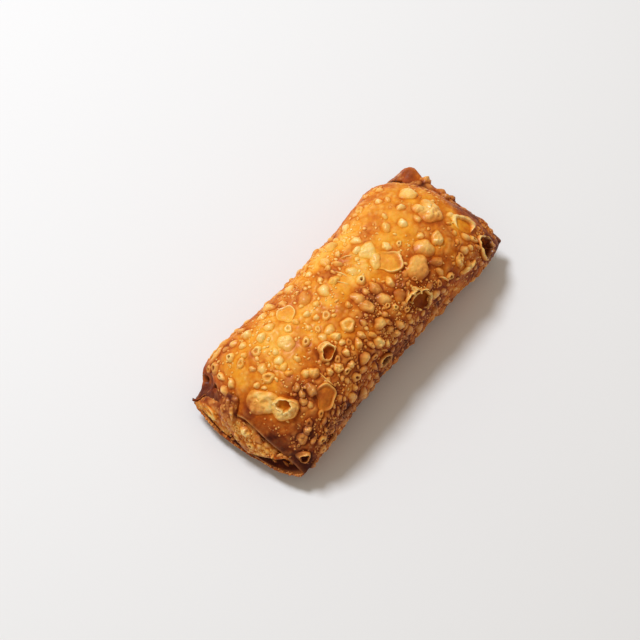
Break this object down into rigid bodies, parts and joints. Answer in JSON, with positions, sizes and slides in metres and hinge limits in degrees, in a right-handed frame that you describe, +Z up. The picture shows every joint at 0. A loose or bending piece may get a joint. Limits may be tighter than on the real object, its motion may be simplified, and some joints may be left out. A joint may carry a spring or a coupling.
{
  "type": "fried spring roll",
  "caption": "Whole deep-fried spring roll of the thick-skinned egg roll kind, with a blistered golden-brown wrapper and folded pocket ends.",
  "frame": {"origin": "middle of the flattened underside, at the bottom centre of the bounding box", "axes": "+X along the roll, +Y across it to the left, +Z up"},
  "size_m": [0.1268, 0.0566, 0.0384],
  "materials": {
    "fried_skin": "crisp fried wrapper, golden on top and dark brown at the ends and along the sides, with a thin sheen of oil"
  },
  "bodies": {
    "root": {"fried_roll": "fried_skin"}
  },
  "joints": []
}
